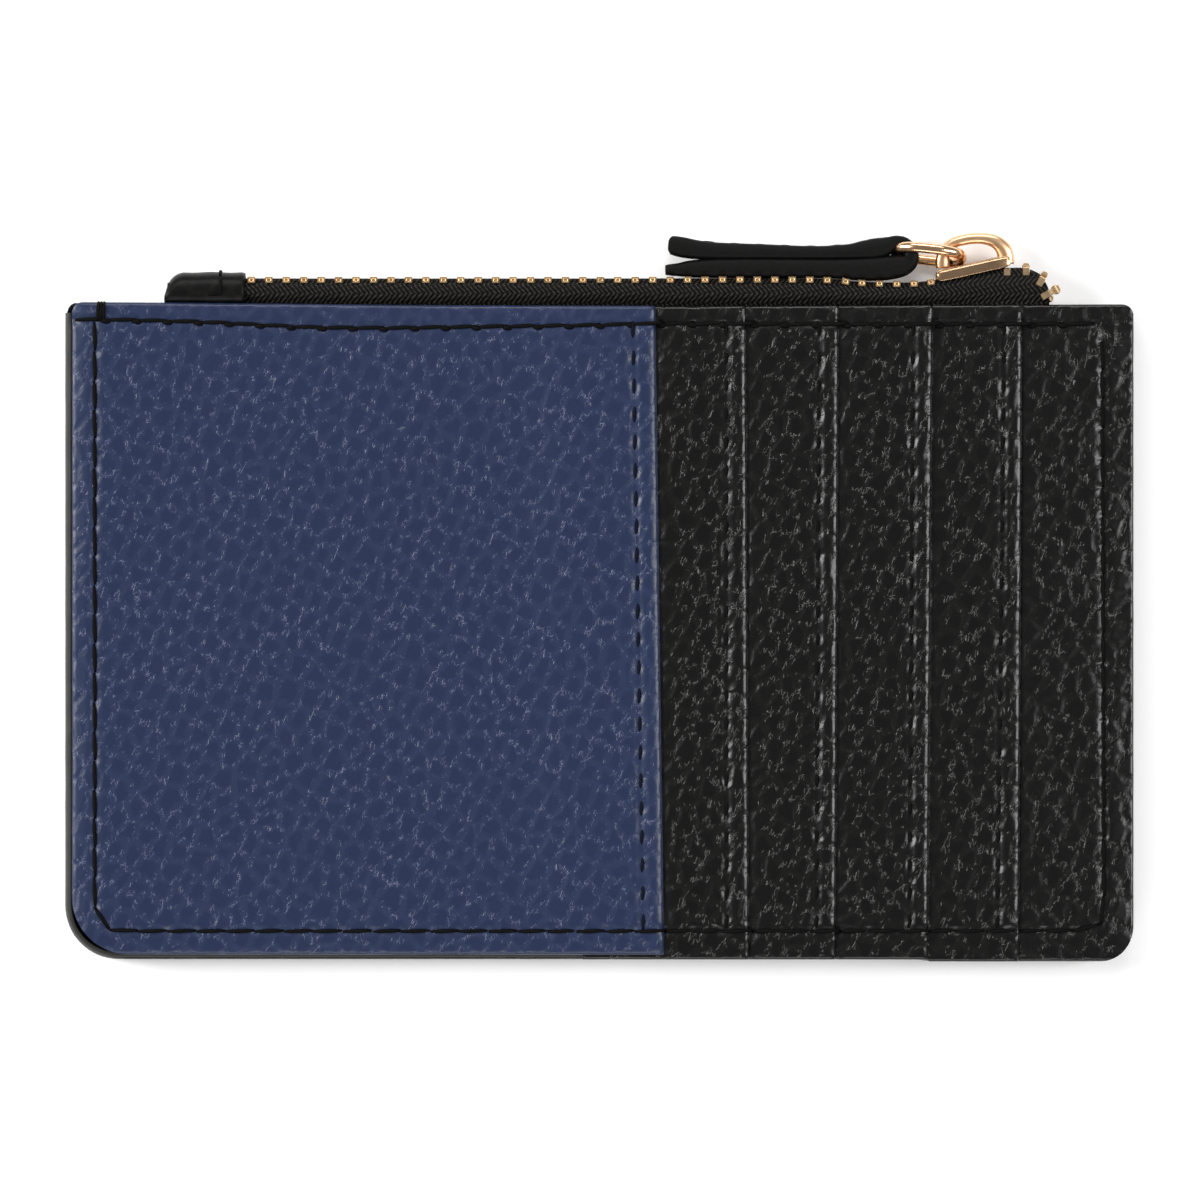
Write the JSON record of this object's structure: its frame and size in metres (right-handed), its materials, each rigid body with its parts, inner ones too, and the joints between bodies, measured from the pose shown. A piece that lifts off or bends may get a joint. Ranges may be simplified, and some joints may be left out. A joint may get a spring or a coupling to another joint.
{
  "type": "zip card holder",
  "caption": "Slim leather card holder with side-opening card slots, a turned-edge front panel and a zipped pocket with a ring-pull leather tab.",
  "frame": {"origin": "centre of the leather body's back face, which is the flat face that the holder lies on", "axes": "+X along the body to the right as the front is seen, +Y across the body towards the zip, +Z out of the front face"},
  "size_m": [0.13, 0.0884, 0.0081],
  "materials": {
    "black_leather": "pebbled grain, satin",
    "blue_leather": "pebbled grain, satin",
    "edge_paint": "satin edge paint",
    "lining_cloth": "fine woven lining",
    "zip_tape": "twill tape",
    "black_thread": "twisted sewing thread",
    "blue_thread": "twisted sewing thread",
    "board": "stiffener board",
    "gold_metal": "polished gold plate"
  },
  "bodies": {
    "case": {"back_panel": "black_leather", "back_board": "board", "lining_back": "lining_cloth", "lining_front": "lining_cloth", "front_board": "board", "front_base_panel": "black_leather", "slot_lining_1": "lining_cloth", "slot_lining_2": "lining_cloth", "slot_lining_3": "lining_cloth", "slot_lining_4": "lining_cloth", "slot_strip_1": "black_leather", "slot_strip_2": "black_leather", "slot_strip_3": "black_leather", "slot_strip_4": "black_leather", "blue_panel": "blue_leather", "edge_band": "edge_paint", "zip_tape_front": "zip_tape", "zip_tape_back": "zip_tape", "zip_teeth_front": "gold_metal", "zip_teeth_back": "gold_metal", "zip_bottom_stop": "gold_metal", "zip_end_tab": "black_leather", "zip_end_tab_thread": "black_thread", "outline_thread": "black_thread", "top_seam_thread": "black_thread", "blue_edge_thread": "blue_thread", "strip_thread_1": "black_thread", "strip_thread_2": "black_thread", "strip_thread_3": "black_thread", "strip_thread_4": "black_thread"},
    "slider": {"slider_body": "gold_metal", "slider_crown": "gold_metal"},
    "ring": {"pull_ring": "gold_metal"},
    "tab": {"pull_tab": "black_leather", "pull_tab_thread": "black_thread"}
  },
  "joints": [
    {"name": "zip_slide", "type": "slide", "parent": "case", "child": "slider", "axis": [-1, 0, 0], "range_m": [0, 0.082]},
    {"name": "ring_swing", "type": "hinge", "parent": "slider", "child": "ring", "pos_m": [0.0441, 0.0453, 0.0037], "axis": [0, 0, -1], "range_deg": [0, 120]},
    {"name": "tab_swing", "type": "hinge", "parent": "ring", "child": "tab", "pos_m": [0.036, 0.0462, 0.0037], "axis": [0, 0, -1], "range_deg": [0, 50]}
  ]
}
